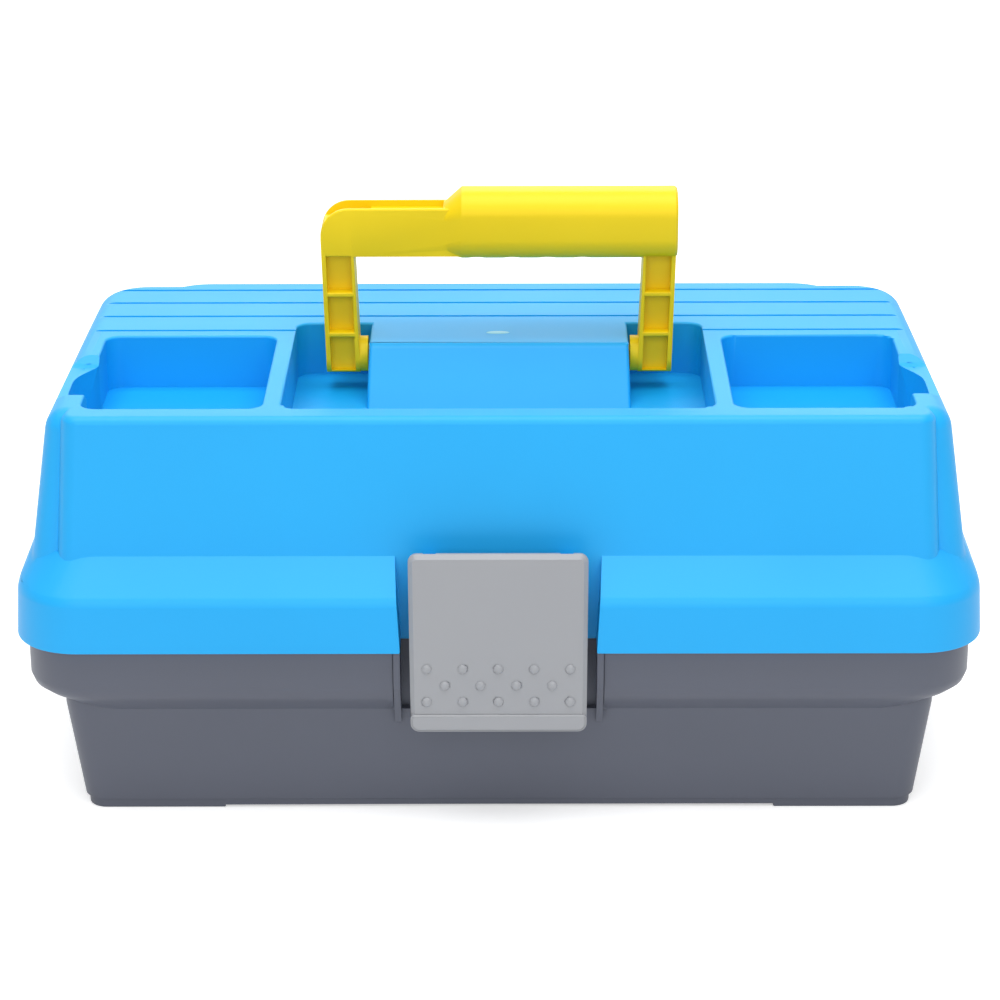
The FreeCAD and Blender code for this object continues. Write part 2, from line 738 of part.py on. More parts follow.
def make_latch():
    """Latch plate with rounded border, thumb bumps, lower lip, hook and pin barrels."""
    top = latch_axis_height + latch_above_axis
    low = latch_lip_low + latch_lip_height
    front = latch_axis_depth - latch_front_at_axis
    back = front + latch_thickness
    plate_low = low - latch_edge_bevel
    corners = [(-latch_bottom_half_width, plate_low, 0), (latch_bottom_half_width, plate_low, 0),
               (latch_top_half_width, top, latch_corner_radius), (-latch_top_half_width, top, latch_corner_radius)]
    plate = prism(corners, "xz", front, back)
    rim = [e for e in plate.Edges if all(abs(v.Y - front) < pin_gap for v in e.Vertexes)]
    rim = [e for e in rim if max(v.Z for v in e.Vertexes) > low]
    plate = plate.makeChamfer(latch_edge_bevel, rim)
    lip = prism([(-latch_bottom_half_width, latch_lip_low, latch_corner_radius),
                 (latch_bottom_half_width, latch_lip_low, latch_corner_radius),
                 (latch_bottom_half_width, low, latch_corner_radius / 2),
                 (-latch_bottom_half_width, low, latch_corner_radius / 2)], "xz", front - latch_lip_reach, back)
    lip_edges = [e for e in lip.Edges if all(abs(v.Y - front + latch_lip_reach) < pin_gap for v in e.Vertexes)]
    lip = lip.makeChamfer(latch_lip_bevel, lip_edges)
    extras = [lip]
    for row in range(bump_rows):
        count = bump_columns - row % 2
        height = low + bump_first_row_above_lip / 2 + (bump_rows - 1 - row) * bump_row_pitch
        for column in range(count):
            x = (column - (count - 1) / 2) * bump_pitch
            extras.append(bump(x, front, height))
    nose = -catch_reach + tub_notch_back - latch_hook_side_gap
    hook_top = catch_height - latch_hook_gap
    root = latch_back(hook_top) - latch_thickness / 2
    corners = [(root, hook_top - latch_hook_thickness * 2, 0), (nose, hook_top - latch_hook_thickness, 0),
               (nose, hook_top, 0), (root, hook_top, 0)]
    hook = prism(corners, "yz", -latch_hook_half_width, latch_hook_half_width)
    axis = (latch_axis_depth, latch_axis_height)
    ear_low, ear_high = latch_ear_place - latch_ear_width / 2, latch_ear_place + latch_ear_width / 2
    spans = [(-latch_barrel_end, -ear_high - side_play), (-ear_low + side_play, ear_low - side_play),
             (ear_high + side_play, latch_barrel_end)]
    for x_low, x_high in spans:
        extras.append(rod(latch_ear_radius, x_low, x_high, axis))
        extras.append(block(x_low, x_high, back - latch_thickness / 2, latch_axis_depth,
                            latch_axis_height - latch_ear_radius, latch_axis_height + latch_ear_radius))
    latch = joined(plate, extras)
    relief = latch_ear_radius + latch_hook_side_gap
    slot = block(ear_low - side_play, ear_high + side_play, latch_axis_depth - relief, latch_axis_depth,
                 latch_axis_height - relief, top + overrun)
    for cutter in both_sides(slot):
        latch = latch.cut(cutter)
    pivot = FreeCAD.Vector(0, latch_axis_depth, latch_axis_height)
    latch.rotate(pivot, FreeCAD.Vector(1, 0, 0), -latch_tilt)
    latch = joined(latch, [hook])
    return latch.cut(rod(hinge_pin_radius + pin_gap, -latch_barrel_end - overrun, latch_barrel_end + overrun, axis))


def handle_outline():
    """Front outline of the handle's frame above its pivots: two legs and the lower bar."""
    pivot = handle_axis_height
    bar_low = pivot + handle_reach - handle_grip_height + handle_bar_rise
    bar_high = bar_low + handle_low_height
    outer_foot = handle_half_width - handle_foot_inset
    inner_foot = outer_foot - handle_arm_width
    inner = handle_half_width - handle_arm_width
    return [(-outer_foot, pivot, 0), (-inner_foot, pivot, 0), (-inner, bar_low, 0), (inner, bar_low, 0),
            (inner_foot, pivot, 0), (outer_foot, pivot, 0), (handle_half_width, bar_high, 0),
            (-handle_half_width, bar_high, handle_low_corner)]


def handle_grip():
    """Thick grip: an oval bar with a soft neck at its left end and finger scallops below."""
    top = handle_axis_height + handle_reach
    low = top - handle_grip_height
    half = handle_grip_depth / 2
    y = handle_axis_depth
    full = [(y - half, low, grip_corner_radius), (y + half, low, grip_corner_radius), (y + half, top, grip_corner_radius),
            (y - half, top, grip_corner_radius)]
    thin = handle_arm_depth / 2
    small_low = low + handle_bar_rise
    small_top = small_low + handle_low_height
    small_radius = grip_corner_radius * neck_radius_share
    small = [(y - thin, small_low, small_radius), (y + thin, small_low, small_radius),
             (y + thin, small_top, small_radius), (y - thin, small_top, small_radius)]
    body = prism(full, "yz", handle_grip_start, handle_half_width)
    ends = [e for e in body.Edges if all(abs(v.X - handle_half_width) < pin_gap for v in e.Vertexes)]
    body = body.makeChamfer(grip_end_bevel, ends)
    neck = Part.makeLoft([outline(small, "yz", handle_grip_start - handle_neck_length),
                          outline(full, "yz", handle_grip_start)], True, True)
    grip = joined(body, [neck])
    for index in range(scallop_count):
        x = scallop_first + index * scallop_pitch + scallop_pitch / 2
        centre = FreeCAD.Vector(x, y - handle_grip_depth, low - scallop_radius + scallop_depth)
        cutter = Part.makeCylinder(scallop_radius, handle_grip_depth * 2, centre, FreeCAD.Vector(0, 1, 0))
        grip = grip.cut(cutter)
    return grip


def make_handle():
    """Folding handle with open-fronted legs, channelled lower bar, grip, feet and pivot stubs."""
    y = handle_axis_depth
    half = handle_arm_depth / 2
    frame = prism(handle_outline(), "xz", y - half, y + half)
    pivot = (y, handle_axis_height)
    outer_foot = handle_half_width - handle_foot_inset
    inner_foot = outer_foot - handle_arm_width
    foot = handle_axis_height - half
    bar_low = handle_axis_height + handle_reach - handle_grip_height + handle_bar_rise
    bar_high = bar_low + handle_low_height
    boss_inner = block_half_width + handle_side_gap
    extras = [handle_grip()] + both_sides(rod(half, inner_foot, outer_foot, pivot))
    extras += both_sides(rod(handle_boss_radius, boss_inner, inner_foot + handle_wall, pivot))
    extras += both_sides(rod(handle_stub_radius, boss_inner - handle_stub_depth, inner_foot + handle_wall, pivot))
    frame = joined(frame, extras)
    cell = (bar_low - foot - handle_rib * handle_pocket_count) / handle_pocket_count
    slant = handle_foot_inset / (bar_high - handle_axis_height)
    for index in range(handle_pocket_count):
        low = foot + handle_rib + index * (cell + handle_rib)
        high = low + cell
        shift_low, shift_high = [slant * (level - handle_axis_height) for level in (low, high)]
        near, far = inner_foot + handle_wall, outer_foot - handle_wall
        corners = [(near + shift_low, low, 0), (far + shift_low, low, 0), (far + shift_high, high, 0),
                   (near + shift_high, high, 0)]
        window = prism(corners, "xz", y - half - overrun, y + half - handle_back_wall)
        for cutter in both_sides(window):
            frame = frame.cut(cutter)
    end = -handle_half_width + handle_channel_end_length
    stretches = ((-handle_half_width - overrun, end, handle_channel_end_depth),
                 (end - handle_wall, handle_grip_start - handle_neck_length, handle_channel_depth))
    for x_low, x_high, depth in stretches:
        frame = frame.cut(block(x_low, x_high, y - half + handle_wall, y + half - handle_wall,
                                bar_high - depth, bar_high + overrun))
    return frame


def capsule(start, end, width, x_low, x_high):
    """A flat bar with round ends between two (depth, height) points."""
    along = FreeCAD.Vector(end[0] - start[0], end[1] - start[1], 0).normalize()
    side = FreeCAD.Vector(-along.y, along.x, 0) * (width / 2)
    corners = [(start[0] + side.x, start[1] + side.y, 0), (start[0] - side.x, start[1] - side.y, 0),
               (end[0] - side.x, end[1] - side.y, 0), (end[0] + side.x, end[1] + side.y, 0)]
    bar = prism(corners, "yz", x_low, x_high)
    return bar.multiFuse([rod(width / 2, x_low, x_high, start), rod(width / 2, x_low, x_high, end)])


def make_arm(side):
    """Front crank: one flat bar from the tub to both trays."""
    bar = capsule(arm_pivot, lower_front, arm_width, tray_outer_face, arm_outer_face)
    bar = joined(bar, [capsule(lower_front, upper_front, arm_width, tray_outer_face, arm_outer_face)])
    for centre in (arm_pivot, lower_front, upper_front):
        bar = bar.cut(rod(pivot_radius + pin_gap, tray_outer_face - overrun, arm_outer_face + overrun, centre))
    return on_side(bar, side)


def make_bracket(side):
    """Rear crank plate, screwed inside the lid, that carries the rear pivots of both trays."""
    back = lower_rear[0] + bracket_margin
    front = upper_rear[0] - bracket_margin
    fall = (upper_rear[1] - lower_rear[1]) / (lower_rear[0] - upper_rear[0])
    back_low = lower_rear[1] - bracket_margin - fall * bracket_margin
    front_low = upper_rear[1] - bracket_margin + fall * bracket_margin
    radius = bracket_corner_radius
    corners = [(front, front_low, radius), (back, back_low, radius), (back, bracket_top, radius),
               (front, bracket_top, radius)]
    plate = prism(corners, "yz", tray_outer_face, arm_outer_face)
    cuts = []
    for centre in (lower_rear, upper_rear):
        cuts.append(rod(pivot_radius + pin_gap, tray_outer_face - overrun, arm_outer_face + overrun, centre))
    for centre in bracket_screw_points():
        cuts.append(rod(screw_radius + pin_gap, tray_outer_face - overrun, arm_outer_face + overrun, centre))
    for cut in cuts:
        plate = plate.cut(cut)
    return on_side(plate, side)


def make_bracket_screws():
    """The four screws that hold the brackets, as one group of separate solids."""
    screws = []
    for y, z in bracket_screw_points():
        head = rod(screw_head_radius, tray_outer_face - screw_head_height, tray_outer_face, (y, z))
        shank = rod(screw_radius, tray_outer_face, arm_outer_face + screw_reach, (y, z))
        screws += both_sides(head.fuse(shank).removeSplitter())
    return Part.makeCompound(screws)


def tray_rivets(front, rear):
    """The four rivets of one tray, each through a crank into the tray's boss, as separate solids."""
    rivets = []
    for centre in (front, rear):
        inner = tray_half_width - tray_wall - pivot_boss_depth + side_play
        head_start = arm_outer_face + pivot_end_gap
        shank = rod(pivot_radius, inner, head_start, centre)
        head = rod(pivot_head_radius, head_start, head_start + pivot_head_height, centre)
        rivets += both_sides(joined(shank, [head]))
    return Part.makeCompound(rivets)


def make_arm_base_pins():
    """Shoulder pins that the front cranks turn on, fixed in the tub's bosses."""
    head_end = tray_outer_face - pivot_end_gap
    head = rod(pivot_head_radius, head_end - pivot_head_height, head_end, arm_pivot)
    shank = rod(pivot_radius, head_end, flare_half_width - tub_wall - side_play, arm_pivot)
    return Part.makeCompound(both_sides(joined(shank, [head])))


def make_hinge_pins():
    """The two steel pins of the back hinges."""
    pin_half = lid_knuckle_length / 2 + knuckle_end_gap + tub_knuckle_length
    pin = rod(hinge_pin_radius, hinge_place - pin_half, hinge_place + pin_half, hinge)
    return Part.makeCompound(both_sides(pin))


def slot_places():
    """X of every divider slot along a tray."""
    count = int((tray_half_width - tray_wall - slot_pitch / 2) / slot_pitch)
    return [index * slot_pitch for index in range(-count, count + 1)]


def row_walls(y_low, y_high):
    """Inner faces of the front and back row of a tray."""
    middle = (y_low + y_high) / 2
    return [(y_low + tray_wall, middle - tray_wall / 2), (middle + tray_wall / 2, y_high - tray_wall)]


def make_tray(y_low, y_high, bottom, height, front, rear):
    """A tackle tray with a long middle wall, divider slots, and pads and bosses for its pivots."""
    top = bottom + height
    tray = prism(rounded(tray_half_width, y_low, y_high, tray_corner_radius), "xy", bottom, top)
    inner = rounded(tray_half_width - tray_wall, y_low + tray_wall, y_high - tray_wall, tray_corner_radius - tray_wall)
    floor = bottom + tray_floor
    tray = tray.cut(prism(inner, "xy", floor, top + overrun))
    middle = (y_low + y_high) / 2
    inner_end = tray_half_width - tray_wall
    inner_half = tray_half_width - tray_wall / 2
    extras = [block(-inner_half, inner_half, middle - tray_wall / 2, middle + tray_wall / 2, floor - tray_floor / 2, top)]
    offset = divider_thickness / 2 + slot_gap
    for x in slot_places():
        for near, far in row_walls(y_low, y_high):
            for x_low in (x - offset - slot_rib, x + offset):
                for face, reach in ((near, slot_rib), (far, -slot_rib)):
                    y_pair = sorted((face - reach / 2, face + reach))
                    extras.append(block(x_low, x_low + slot_rib, y_pair[0], y_pair[1], floor - tray_floor / 2,
                                        top - divider_drop))
    for y, z in (front, rear):
        extras += both_sides(rod(pivot_pad_radius, tray_half_width - tray_wall / 2, tray_outer_face - pivot_end_gap,
                                 (y, z)))
        boss = block(inner_end - pivot_boss_depth, inner_end + tray_wall / 2, y - pivot_pad_radius,
                     y + pivot_pad_radius, max(z - pivot_pad_radius, floor), z + pivot_pad_radius)
        extras += both_sides(boss)
    tray = joined(tray, extras)
    for centre in (front, rear):
        bore = rod(pivot_radius + pin_gap, tray_half_width - tray_wall - pivot_boss_depth - overrun,
                   tray_outer_face + overrun, centre)
        for hole in both_sides(bore):
            tray = tray.cut(hole)
    return tray


def make_divider(x, row, y_low, y_high, bottom, height):
    """A lift-out divider standing in its slots, in the front row (0) or the back row (1)."""
    near, far = row_walls(y_low, y_high)[row]
    floor = bottom + tray_floor
    half = divider_thickness / 2
    top = bottom + height - divider_drop
    radius = divider_thickness
    corners = [(near + slot_gap, floor + slot_gap, 0), (far - slot_gap, floor + slot_gap, 0),
               (far - slot_gap, top, radius), (near + slot_gap, top, radius)]
    return prism(corners, "yz", x - half, x + half)


def save(name, shape):
    """Write one piece to its own file."""
    shape.exportStep(os.path.join("parts", name + ".step"))


def main():
    os.makedirs("parts", exist_ok=True)
    lower = (lower_tray_front, lower_tray_back, lower_tray_bottom, lower_tray_height)
    upper = (upper_tray_front, upper_tray_back, upper_tray_bottom, upper_tray_height)
    latch_axis = (latch_axis_depth, latch_axis_height)
    save("base_tub", make_tub())
    save("lid_shell", make_lid())
    save("handle", make_handle())
    save("latch", make_latch())
    save("latch_pin", rod(hinge_pin_radius, -latch_barrel_end, latch_barrel_end, latch_axis))
    save("hinge_pins", make_hinge_pins())
    save("lower_tray", make_tray(*lower, lower_front, lower_rear))
    save("upper_tray", make_tray(*upper, upper_front, upper_rear))
    save("lower_tray_rivets", tray_rivets(lower_front, lower_rear))
    save("upper_tray_rivets", tray_rivets(upper_front, upper_rear))
    save("arm_base_pins", make_arm_base_pins())
    save("bracket_screws", make_bracket_screws())
    for side in ("left", "right"):
        save("arm_" + side, make_arm(side))
        save("bracket_" + side, make_bracket(side))
    places = slot_places()
    chosen = [(places[0], 0), (places[len(places) // 2], 0), (places[-1], 0), (places[1], 1), (places[-2], 1)]
    for index, (x, row) in enumerate(chosen, 1):
        save("lower_divider_" + str(index), make_divider(x, row, *lower))
        save("upper_divider_" + str(index), make_divider(x, row, *upper))


main()
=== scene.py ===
import json
import math
import bpy
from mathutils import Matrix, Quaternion, Vector


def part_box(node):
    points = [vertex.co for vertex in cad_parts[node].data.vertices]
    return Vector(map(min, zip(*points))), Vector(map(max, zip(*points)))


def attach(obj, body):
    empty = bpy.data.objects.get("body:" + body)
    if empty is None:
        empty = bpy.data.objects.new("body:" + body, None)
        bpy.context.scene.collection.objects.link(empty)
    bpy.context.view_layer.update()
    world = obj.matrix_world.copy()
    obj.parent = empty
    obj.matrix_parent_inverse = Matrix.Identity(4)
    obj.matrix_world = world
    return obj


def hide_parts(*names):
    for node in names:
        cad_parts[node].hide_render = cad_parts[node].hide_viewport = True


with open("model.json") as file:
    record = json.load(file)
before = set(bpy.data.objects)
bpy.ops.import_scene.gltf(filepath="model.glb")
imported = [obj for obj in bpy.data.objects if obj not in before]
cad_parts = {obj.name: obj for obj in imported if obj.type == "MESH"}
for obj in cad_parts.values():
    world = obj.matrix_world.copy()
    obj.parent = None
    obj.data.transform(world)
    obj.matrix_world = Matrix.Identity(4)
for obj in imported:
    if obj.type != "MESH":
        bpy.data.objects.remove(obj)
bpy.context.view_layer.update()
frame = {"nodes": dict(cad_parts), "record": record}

MM = 0.001

# How far the roughness of a moulded face drifts to either side
GLOSS_DRIFT = 0.05
# The colour sockets of Blender's mix node, which it numbers after those for plain values
MIX_COLOUR_A, MIX_COLOUR_B, MIX_COLOUR_OUT = 6, 7, 2


# Colours and materials

def linear(hex_colour):
    """An sRGB hex colour as linear red, green, blue and alpha."""
    values = []
    for start in (0, 2, 4):
        level = int(hex_colour[start:start + 2], 16) / 255
        values.append(level / 12.92 if level <= 0.04045 else ((level + 0.055) / 1.055) ** 2.4)
    return (*values, 1.0)


def add(tree, kind, settings=None, links=None):
    """Adds a node with its settings, socket values and links."""
    node = tree.nodes.new(kind)
    for key, value in (settings or {}).items():
        if key in node.inputs.keys() or isinstance(key, int):
            node.inputs[key].default_value = value
        else:
            setattr(node, key, value)
    for socket, source in (links or {}).items():
        tree.links.new(source, node.inputs[socket])
    return node


def moulded(name, colour, shade, roughness, grain_mm, grain_depth, mottle_mm, specular=0.5):
    """A moulded plastic: fine spark-eroded grain, cloudy gloss, and pigment that drifts a little.

    The grain is 0.4 to 0.45 mm wide, about twice the real one, so that it still shows in the render.
    """
    material = bpy.data.materials.new(name)
    material.use_nodes = True
    tree = material.node_tree
    shader = tree.nodes["Principled BSDF"]
    shader.inputs["IOR"].default_value = 1.5
    shader.inputs["Specular IOR Level"].default_value = specular
    place = add(tree, "ShaderNodeTexCoord").outputs["Object"]
    cloud = add(tree, "ShaderNodeTexNoise", {"Scale": 1 / (mottle_mm * MM), "Detail": 3.0},
                {"Vector": place})
    drift = add(tree, "ShaderNodeMix",
                {"data_type": "RGBA", MIX_COLOUR_A: linear(colour), MIX_COLOUR_B: linear(shade)},
                {"Factor": cloud.outputs["Fac"]})
    tree.links.new(drift.outputs[MIX_COLOUR_OUT], shader.inputs["Base Color"])
    grain = add(tree, "ShaderNodeTexNoise", {"Scale": 1 / (grain_mm * MM), "Detail": 2.0},
                {"Vector": place})
    gloss = add(tree, "ShaderNodeMapRange",
                {"To Min": roughness - GLOSS_DRIFT, "To Max": roughness + GLOSS_DRIFT},
                {"Value": cloud.outputs["Fac"]})
    tree.links.new(gloss.outputs["Result"], shader.inputs["Roughness"])
    bump = add(tree, "ShaderNodeBump", {"Strength": 0.35, "Distance": grain_depth * MM},
               {"Height": grain.outputs["Fac"]})
    tree.links.new(bump.outputs["Normal"], shader.inputs["Normal"])
    return material


def plated_steel(name):
    """Zinc-plated steel of the pins, rivets and screws: grey metal with fine drawing marks."""
    material = bpy.data.materials.new(name)
    material.use_nodes = True
    tree = material.node_tree
    shader = tree.nodes["Principled BSDF"]
    shader.inputs["Metallic"].default_value = 1.0
    shader.inputs["Base Color"].default_value = linear("C3C5C8")
    place = add(tree, "ShaderNodeTexCoord").outputs["Object"]
    mark_mm, smooth_roughness, marked_roughness = 0.6, 0.22, 0.42
    marks = add(tree, "ShaderNodeTexNoise", {"Scale": 1 / (mark_mm * MM), "Detail": 3.0}, {"Vector": place})
    gloss = add(tree, "ShaderNodeMapRange", {"To Min": smooth_roughness, "To Max": marked_roughness},
                {"Value": marks.outputs["Fac"]})
    tree.links.new(gloss.outputs["Result"], shader.inputs["Roughness"])
    return material


# The lid: one clean sky blue, with a soft gloss that whitens it slightly where it lies flat under the lamp.
blue_pp = moulded("sky_blue_moulded_polypropylene", "0CA7EB", "0BA2E5", 0.47, 0.45, 0.05, 60, 0.42)
# The scar where the sprue broke off: a paler, duller blue, a painted highlight that reads as a small bright
# dash.
gate_highlight_pp = moulded("pale_blue_painted_highlight_polypropylene", "A9DFF2", "9CD8EE", 0.50, 0.45, 0.05, 10, 0.40)
# The tub: cool slate grey, duller than the lid, so that the flare's slope shows as a lighter band.
grey_pp = moulded("slate_grey_moulded_polypropylene", "575B68", "545864", 0.45, 0.45, 0.05, 60, 0.40)
# The latch: a harder, smoother, paler grey, so that its border and bumps catch small clear highlights.
pale_grey_abs = moulded("pale_grey_moulded_abs", "97999D", "94969B", 0.34, 0.40, 0.03, 30, 0.50)
# The handle: warm full yellow, toward olive in the leg pockets and nearly lemon on top of the grip.
yellow_pp = moulded("yellow_moulded_polypropylene", "F2D006", "ECCA05", 0.46, 0.45, 0.04, 40, 0.30)
# The trays: pale smoke grey, seen when the lid opens.
tray_pp = moulded("smoke_grey_tray_polypropylene", "B4B8C0", "AEB2BB", 0.40, 0.45, 0.04, 50)
# The cranks and their brackets: dark grey against the trays.
crank_abs = moulded("dark_grey_crank_abs", "4A4E59", "464A55", 0.40, 0.40, 0.03, 30)
# Pins, rivets and screws: small bright metal points.
steel = plated_steel("zinc_plated_steel")

slot_finish = {"grey_plastic": grey_pp, "blue_plastic": blue_pp, "yellow_plastic": yellow_pp,
               "light_grey_plastic": pale_grey_abs, "tray_plastic": tray_pp, "arm_plastic": crank_abs,
               "steel": steel}
node_slot = {part["node"]: part["material_slot"] for part in frame["record"]["subparts"]}


def deselect():
    """Leaves nothing selected, so that what is added next is selected alone."""
    bpy.ops.object.select_all(action="DESELECT")


def take_up(piece):
    """Makes a piece the only one that is selected, and the active one."""
    deselect()
    piece.select_set(True)
    bpy.context.view_layer.objects.active = piece


def join_to(piece):
    """Joins what is selected to a piece."""
    piece.select_set(True)
    bpy.context.view_layer.objects.active = piece
    bpy.ops.object.join()


# What counts as one point, in millimetres, and as one plane, in degrees, when a CAD node is merged
same_point, same_plane = 0.01, 0.5
# Turns of more degrees than this stay sharp where a piece is shaded smooth
sharp_turn = 32


def copy_of(node, name):
    """A merged copy of a CAD node, to be shaped further, as the active object."""
    source = frame["nodes"][node]
    piece = source.copy()
    piece.data = source.data.copy()
    for key in list(piece.keys()):
        del piece[key]
    piece.parent = None
    piece.name = name
    piece.data.name = name
    bpy.context.scene.collection.objects.link(piece)
    take_up(piece)
    bpy.ops.object.mode_set(mode="EDIT")
    bpy.ops.mesh.select_all(action="SELECT")
    bpy.ops.mesh.remove_doubles(threshold=same_point * MM)
    bpy.ops.mesh.customdata_custom_splitnormals_clear()
    bpy.ops.mesh.dissolve_limited(angle_limit=math.radians(same_plane), delimit=set())
    bpy.ops.object.mode_set(mode="OBJECT")
    return piece


def corners_of(mesh):
    """Each edge that two faces share: its number, its ends in mm, its turn in degrees and if it juts out."""
    sides = {}
    for face in mesh.polygons:
        for key in face.edge_keys:
            sides.setdefault(key, []).append(face)
    found = []
    for edge in mesh.edges:
        faces = sides.get(tuple(sorted(edge.vertices)), [])
        if len(faces) != 2:
            continue
        one, other = faces
        turn = math.degrees(one.normal.angle(other.normal, 0.0))
        juts = (other.center - one.center).dot(one.normal) < 0
        ends = [mesh.vertices[index].co / MM for index in edge.vertices]
        found.append((edge.index, ends, turn, juts))
    return found


def soften(piece, edge_kind, wanted):
    """Rounds the jutting edges of one kind that a test accepts by their ends, as the mould leaves them."""
    radius_mm, segments, least_turn, most_turn = edge_kind
    mesh = piece.data
    take_up(piece)
    bpy.ops.object.mode_set(mode="EDIT")
    bpy.ops.mesh.select_mode(type="EDGE")
    bpy.ops.mesh.select_all(action="DESELECT")
    bpy.ops.object.mode_set(mode="OBJECT")
    chosen = [index for index, (start, end), turn, juts in corners_of(mesh)
              if juts and least_turn < turn <= most_turn and wanted(start, end)]
    if not chosen:
        return
    for index in chosen:
        mesh.edges[index].select = True
    bpy.ops.object.mode_set(mode="EDIT")
    bpy.ops.mesh.bevel(offset=radius_mm * MM, segments=segments, profile=0.5, clamp_overlap=False)
    bpy.ops.object.mode_set(mode="OBJECT")


def finish_piece(piece, body, node, flat=True):
    """Smooths a piece, gives it its finish and puts it on its body in place of its CAD node."""
    take_up(piece)
    bpy.ops.object.shade_smooth_by_angle(angle=math.radians(sharp_turn))
    if flat:
        even = piece.modifiers.new("flat faces stay flat", "WEIGHTED_NORMAL")
        even.keep_sharp = True
        bpy.ops.object.modifier_apply(modifier=even.name)
    piece.data.materials.clear()
    piece.data.materials.append(slot_finish[node_slot[node]])
    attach(piece, body)
    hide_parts(node)


# Places, in millimetres, that the edges to soften are found by
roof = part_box("lid_shell")[1].z / MM
roof_flat_end, roof_fall_radius = 19.0, 2000.0
groove_first, groove_pitch, groove_count = 18.8, 16.9, 4
pocket_floor = 123.8
rim_top, rim_reach = 83.8, 90.0
skirt_foot = 65.4
block_side, block_spread, block_front, block_back = 46.7, 0.6, -17.0, 26.0
feet_top = 1.2
latch_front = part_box("latch")[0].y / MM
latch_border_depth = 3.5
handle_depth, handle_half, handle_pivot_drop = 12.0, 6.7, 4.0
# How far off such a place an edge may lie
near, close = 0.1, 0.05

# Kinds of edge: radius in millimetres, segments, and the turns in degrees between which such edges lie
rim_edge = (2.2, 4, 12, 180)
mouth_edge = (0.9, 3, 55, 125)
skirt_edge = (0.7, 2, 60, 120)
block_edge = (1.4, 3, 60, 120)
feet_edge = (0.5, 2, 60, 180)
latch_edge = (0.7, 4, 25, 100)
handle_edge = (0.5, 3, 35, 100)

# Thumb bumps of the latch: the solid's height, how far its top is sunk below the plate, the largest top that
# counts as one in square millimetres, and the round dome's radius and rise
bump_height, bump_sink, bump_largest_area = 0.55, 0.05, 16.0
bump_radius, bump_rise = 1.7, 0.95

# Webs under the back end of each scoop's dip: how far their front lies below the dip's floor, how deep they
# reach, and then for each web its inner and outer side, front and back, and how far its back end rises
dip_floor = 140.3
web_drop, web_depth = 0.05, 0.8
dip_webs = ((142.6, 149.2, -15.9, -12.6, 0.7), (146.2, 149.2, -21.0, -15.6, -0.05))


def roof_level(depth):
    """Height of the roof: level at the front, then a gentle fall to the back."""
    run = max(depth - roof_flat_end, 0.0)
    return roof - roof_fall_radius + math.sqrt(roof_fall_radius ** 2 - run ** 2)


def on_roof(point):
    """Whether a point lies on the roof's surface."""
    return abs(point.z - roof_level(point.y)) < close


def in_groove(a, b):
    """Whether an edge runs along one of the roof's grooves."""
    half_width = 0.4
    lines = [groove_first + index * groove_pitch for index in range(groove_count)]
    return any(abs(a.y - line) < half_width and abs(b.y - line) < half_width for line in lines)


def on_block_side(end):
    """Whether a point lies on one of the two upright sides of the centre block."""
    return (abs(abs(end.x) - block_side) < block_spread and block_front < end.y < block_back
            and end.z > pocket_floor - near)


def shape_lid(piece):
    """Lid: soft edge on top of the rim, eased pocket mouths, skirt and block sides, and the dips' webs."""
    soften(piece, rim_edge, lambda a, b: abs(a.z - rim_top) < near and abs(b.z - rim_top) < near
           and max(abs(a.x), abs(a.y)) > rim_reach)
    soften(piece, mouth_edge, lambda a, b: on_roof(a) and on_roof(b) and not in_groove(a, b))
    soften(piece, skirt_edge, lambda a, b: abs(a.z - skirt_foot) < close and abs(b.z - skirt_foot) < close)
    soften(piece, block_edge, lambda a, b: on_block_side(a) and on_block_side(b))
    for side in (-1, 1):
        for web_place in dip_webs:
            close_dip(side, *web_place)
            join_to(piece)


def close_dip(side, inner, outer, front, back, rise):
    """Adds a web behind a scoop's dip, where the dip runs deeper than the roof's skin."""
    deselect()
    bpy.ops.mesh.primitive_cube_add(size=1.0)
    web = bpy.context.active_object
    for vertex in web.data.vertices:
        far, top = vertex.co.y > 0, vertex.co.z > 0
        vertex.co.x = side * (outer if vertex.co.x > 0 else inner) * MM
        vertex.co.y = (back if far else front) * MM
        level = rise if far else -web_drop
        vertex.co.z = (dip_floor + (level if top else -web_depth)) * MM
    if side < 0:
        web.data.flip_normals()


def shape_tub(piece):
    """Tub: eased lower edge and feet."""
    soften(piece, feet_edge, lambda a, b: max(a.z, b.z) < feet_top)


def shape_latch(piece):
    """Latch: soft border and lip, and round domes in place of the solid's eight-sided bumps."""
    seats = []
    mesh = piece.data
    for face in mesh.polygons:
        faces_front = face.normal.y < -0.9
        if len(face.vertices) == 8 and faces_front and face.area < bump_largest_area * MM ** 2:
            seats.append((face.center - face.normal * bump_height * MM, face.normal.copy()))
            for index in face.vertices:
                mesh.vertices[index].co -= face.normal * (bump_height + bump_sink) * MM
    soften(piece, latch_edge, lambda a, b: max(a.y, b.y) < latch_front + latch_border_depth)
    for seat, normal in seats:
        deselect()
        bpy.ops.mesh.primitive_uv_sphere_add(segments=24, ring_count=12, radius=bump_radius * MM,
                                             location=seat)
        dome = bpy.context.active_object
        dome.scale.z = bump_rise / bump_radius
        dome.rotation_euler = normal.to_track_quat("Z", "Y").to_euler()
        bpy.ops.object.transform_apply(location=True, rotation=True, scale=True)
        bpy.ops.object.mode_set(mode="EDIT")
        bpy.ops.mesh.select_all(action="SELECT")
        bpy.ops.mesh.bisect(plane_co=seat - normal * bump_height / 4 * MM, plane_no=normal, use_fill=True,
                            clear_inner=True)
        bpy.ops.object.mode_set(mode="OBJECT")
        join_to(piece)


